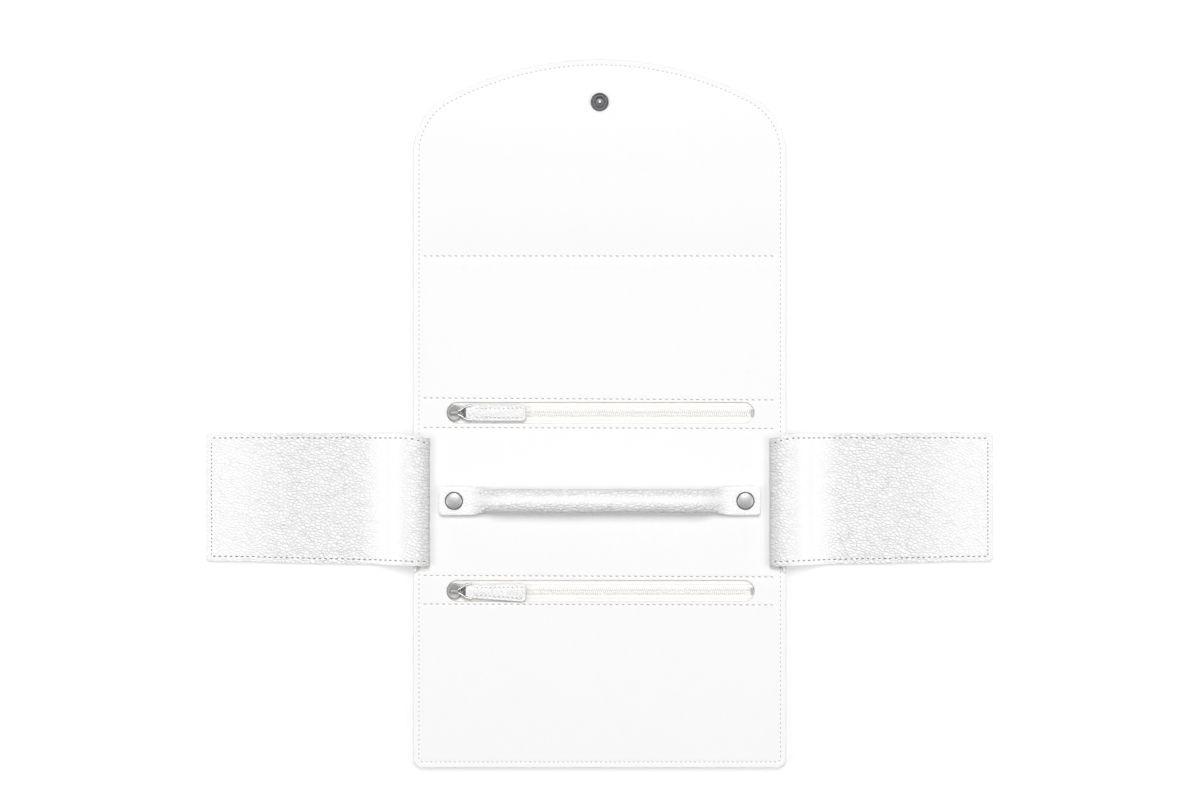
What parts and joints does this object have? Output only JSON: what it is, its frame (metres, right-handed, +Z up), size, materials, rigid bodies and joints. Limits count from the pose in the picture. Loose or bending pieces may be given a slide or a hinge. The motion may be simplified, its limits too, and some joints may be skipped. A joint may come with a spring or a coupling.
{
  "type": "travel jewelry case",
  "caption": "Fold-up leather travel case for jewelry, laid open: flap with snap, zip pockets, fold-in side wings and a padded bar for rings.",
  "frame": {"origin": "centre of the open case's extent, on the surface that it lies on", "axes": "+Z up, +Y from the free lower edge to the flap tip, +X across the case to the right wing"},
  "size_m": [0.4094, 0.3684, 0.0136],
  "materials": {
    "grained_leather": "white, pebble grain",
    "smooth_leather": "white, fine grain",
    "interlining": "bonded felt board",
    "wadding": "soft wadding",
    "zip_tape": "cream woven tape",
    "zip_coil": "cream nylon",
    "nickel": "bright nickel"
  },
  "bodies": {
    "upper_panel": {"upper_outer_leather": "grained_leather", "upper_stiffener": "interlining", "upper_seam_allowance": "smooth_leather", "upper_lining": "smooth_leather"},
    "middle_spine": {"middle_spine_outer_leather": "grained_leather", "middle_spine_stiffener": "interlining", "middle_spine_seam_allowance": "smooth_leather", "middle_spine_lining": "smooth_leather"},
    "middle_panel": {"middle_outer_leather": "grained_leather", "middle_stiffener": "interlining", "middle_seam_allowance": "smooth_leather", "middle_lining": "smooth_leather", "upper_zip_tape": "zip_tape", "upper_zip_coil": "zip_coil", "upper_zip_stops": "nickel", "closure_stud": "nickel", "closure_stud_plate": "nickel", "left_bar_snap_stud": "nickel", "right_bar_snap_stud": "nickel", "ring_bar_left_tab": "grained_leather", "left_bar_snap_cap": "nickel", "left_bar_snap_socket": "nickel", "left_wing_hinge_strip": "smooth_leather", "right_wing_hinge_strip": "smooth_leather"},
    "lower_spine": {"lower_spine_outer_leather": "grained_leather", "lower_spine_stiffener": "interlining", "lower_spine_seam_allowance": "smooth_leather", "lower_spine_lining": "smooth_leather", "lower_zip_tape": "zip_tape", "lower_zip_coil": "zip_coil", "lower_zip_stops": "nickel"},
    "lower_panel": {"lower_outer_leather": "grained_leather", "lower_stiffener": "interlining", "lower_seam_allowance": "smooth_leather", "lower_lining": "smooth_leather"},
    "flap_spine": {"flap_spine_outer_leather": "grained_leather", "flap_spine_stiffener": "interlining", "flap_spine_seam_allowance": "smooth_leather", "flap_spine_lining": "smooth_leather"},
    "flap": {"flap_outer_leather": "grained_leather", "flap_stiffener": "interlining", "flap_seam_allowance": "smooth_leather", "flap_lining": "smooth_leather", "flap_snap_socket": "nickel", "flap_snap_rivet": "nickel"},
    "left_wing": {"left_wing_leather": "grained_leather", "left_wing_backing": "smooth_leather"},
    "right_wing": {"right_wing_leather": "grained_leather", "right_wing_backing": "smooth_leather"},
    "upper_slider": {"upper_zip_slider": "nickel"},
    "upper_pull": {"upper_pull_link": "nickel", "upper_pull_tab": "grained_leather"},
    "lower_slider": {"lower_zip_slider": "nickel"},
    "lower_pull": {"lower_pull_link": "nickel", "lower_pull_tab": "grained_leather"},
    "ring_bar": {"ring_bar_core": "wadding", "ring_bar_cover": "grained_leather", "right_bar_snap_cap": "nickel", "right_bar_snap_socket": "nickel"}
  },
  "joints": [
    {"name": "middle_fold", "type": "hinge", "parent": "upper_panel", "child": "middle_spine", "pos_m": [0, 0.0271, 0.0036], "axis": [-1, 0, 0], "range_deg": [0, 90]},
    {"name": "middle_fold_far", "type": "hinge", "parent": "middle_spine", "child": "middle_panel", "pos_m": [0, 0.0083, 0.0036], "axis": [-1, 0, 0], "range_deg": [0, 90]},
    {"name": "lower_fold", "type": "hinge", "parent": "middle_panel", "child": "lower_spine", "pos_m": [0, -0.0843, 0.0036], "axis": [-1, 0, 0], "range_deg": [0, 90]},
    {"name": "lower_fold_far", "type": "hinge", "parent": "lower_spine", "child": "lower_panel", "pos_m": [0, -0.0993, 0.0036], "axis": [-1, 0, 0], "range_deg": [0, 90]},
    {"name": "flap_fold", "type": "hinge", "parent": "upper_panel", "child": "flap_spine", "pos_m": [0, 0.1241, 0.0036], "axis": [1, 0, 0], "range_deg": [0, 90]},
    {"name": "flap_fold_far", "type": "hinge", "parent": "flap_spine", "child": "flap", "pos_m": [0, 0.1469, 0.0036], "axis": [1, 0, 0], "range_deg": [0, 90]},
    {"name": "left_wing_fold", "type": "hinge", "parent": "middle_panel", "child": "left_wing", "pos_m": [-0.0905, -0.0101, 0.00785], "axis": [0, 1, 0], "range_deg": [0, 180]},
    {"name": "right_wing_fold", "type": "hinge", "parent": "middle_panel", "child": "right_wing", "pos_m": [0.0905, -0.0101, 0.00895], "axis": [0, -1, 0], "range_deg": [0, 180]},
    {"name": "upper_zip_slide", "type": "slide", "parent": "middle_panel", "child": "upper_slider", "axis": [-1, 0, 0], "range_m": [-0.148, 0]},
    {"name": "upper_pull_swing", "type": "hinge", "parent": "upper_slider", "child": "upper_pull", "pos_m": [-0.0739, 0.00035, 0.0053], "axis": [0, 1, 0], "range_deg": [-155, 0]},
    {"name": "lower_zip_slide", "type": "slide", "parent": "lower_spine", "child": "lower_slider", "axis": [-1, 0, 0], "range_m": [-0.148, 0]},
    {"name": "lower_pull_swing", "type": "hinge", "parent": "lower_slider", "child": "lower_pull", "pos_m": [-0.0739, -0.0923, 0.0053], "axis": [0, 1, 0], "range_deg": [-155, 0]},
    {"name": "ring_bar_lift", "type": "hinge", "parent": "middle_panel", "child": "ring_bar", "pos_m": [-0.0674, -0.0453, 0.0069], "axis": [0, 1, 0], "range_deg": [-75, 0]}
  ],
  "couplings": [
    {"joint": "middle_fold_far", "follows": "middle_fold", "ratio": 1},
    {"joint": "lower_fold_far", "follows": "lower_fold", "ratio": 1},
    {"joint": "flap_fold_far", "follows": "flap_fold", "ratio": 1}
  ]
}
